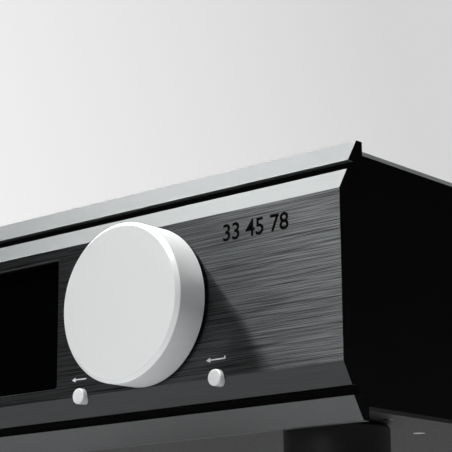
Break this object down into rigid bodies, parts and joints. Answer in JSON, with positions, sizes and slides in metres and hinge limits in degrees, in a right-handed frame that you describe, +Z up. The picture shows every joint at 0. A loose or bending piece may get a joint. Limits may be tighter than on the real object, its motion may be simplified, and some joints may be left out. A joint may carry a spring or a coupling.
{
  "type": "phono preamp",
  "caption": "Low black aluminium phono preamplifier case with bevelled front, silver trim bars, dark display window, large silver knob and small round keys",
  "frame": {"origin": "on the floor under the foot pads, at the middle of the whole width and depth", "axes": "+X to the right along the front as the user sees it, +Y from front to back, +Z up; the front faces -Y"},
  "size_m": [0.3, 0.3136, 0.1144],
  "materials": {
    "anodised_black_panel": "black anodised, brushed along its length; upper bevel bright-cut",
    "satin_silver_trim": "satin silver anodised",
    "anodised_black_case": "fine-blasted black anodised",
    "black_steel": "black powder coated steel",
    "silver_knob": "bead-blasted, clear anodised, diamond-cut edge",
    "window_glass": "polished, back-printed black glass-clear acrylic",
    "display_black": "display frame",
    "foam_black": "closed-cell foam",
    "rubber_black": "moulded rubber",
    "screw_steel": "bright zinc",
    "screw_black": "black oxide",
    "shaft_steel": "turned steel",
    "plastic_black": "moulded black plastic",
    "board_green": "solder-masked glass-epoxy board",
    "nickel_brass": "nickel plated brass",
    "gold_brass": "gold plated brass",
    "ring_white": "moulded white plastic",
    "ring_red": "moulded red plastic",
    "transformer_tape": "polyester tape over copper windings",
    "sink_black": "black anodised extrusion",
    "can_tin": "tinned steel sheet",
    "relay_plastic": "moulded plastic",
    "film_red": "epoxy dipped film capacitor"
  },
  "bodies": {
    "chassis": {"front_panel": "anodised_black_panel", "front_subframe": "anodised_black_case", "top_trim_bar": "satin_silver_trim", "bottom_trim_bar": "satin_silver_trim", "trim_screws": "screw_black", "frame_screws": "screw_steel", "panel_screws": "screw_steel", "display_window": "window_glass", "display_gasket": "foam_black", "display_module": "display_black", "encoder_body": "nickel_brass", "encoder_nut": "nickel_brass", "button_switches": "plastic_black", "control_board": "board_green", "control_board_spacers": "nickel_brass", "control_board_screws": "screw_steel", "left_side_panel": "anodised_black_case", "right_side_panel": "anodised_black_case", "top_cover": "anodised_black_case", "cover_screws": "screw_black", "base_plate": "black_steel", "base_screws": "screw_black", "rear_panel": "anodised_black_case", "rear_screws": "screw_black", "main_board": "board_green", "power_board": "board_green", "board_standoffs": "nickel_brass", "board_screws": "screw_steel", "filter_capacitors": "plastic_black", "heat_sink": "sink_black", "regulators": "plastic_black", "transformer": "transformer_tape", "transformer_pads": "rubber_black", "transformer_clamp": "black_steel", "transformer_bolt": "screw_steel", "shield_can": "can_tin", "relays": "relay_plastic", "film_capacitors": "film_red", "mains_inlet": "plastic_black", "inlet_blades": "nickel_brass", "inlet_screws": "screw_black", "switch_housing": "plastic_black", "phono_input_sockets": "gold_brass", "output_sockets": "gold_brass", "left_channel_rings": "ring_white", "right_channel_rings": "ring_red", "socket_nuts": "nickel_brass", "ground_post": "gold_brass", "feet": "anodised_black_case", "foot_pads": "rubber_black", "foot_screws": "screw_black"},
    "knob": {"main_knob": "silver_knob", "knob_grub_screw": "screw_steel", "encoder_shaft": "shaft_steel"},
    "back_key": {"back_button": "silver_knob", "back_plunger": "plastic_black"},
    "enter_key": {"enter_button": "silver_knob", "enter_plunger": "plastic_black"},
    "switch_rocker": {"power_rocker": "plastic_black"},
    "ground_nut": {"ground_thumb_nut": "gold_brass"}
  },
  "joints": [
    {"name": "knob_turn", "type": "hinge", "parent": "chassis", "child": "knob", "pos_m": [0.056, -0.1408, 0.0637], "axis": [0, -1, 0], "continuous": true},
    {"name": "back_key_press", "type": "slide", "parent": "chassis", "child": "back_key", "axis": [0, 1, 0], "range_m": [0, 0.001], "stiffness_N_per_m": 300, "springref_m": -0.001},
    {"name": "enter_key_press", "type": "slide", "parent": "chassis", "child": "enter_key", "axis": [0, 1, 0], "range_m": [0, 0.001], "stiffness_N_per_m": 300, "springref_m": -0.001},
    {"name": "power_switch", "type": "hinge", "parent": "chassis", "child": "switch_rocker", "pos_m": [-0.066, 0.1432, 0.0637], "axis": [1, 0, 0], "range_deg": [0, 20]},
    {"name": "ground_nut_turn", "type": "hinge", "parent": "chassis", "child": "ground_nut", "pos_m": [0.062, 0.1442, 0.0637], "axis": [0, 1, 0], "continuous": true}
  ]
}
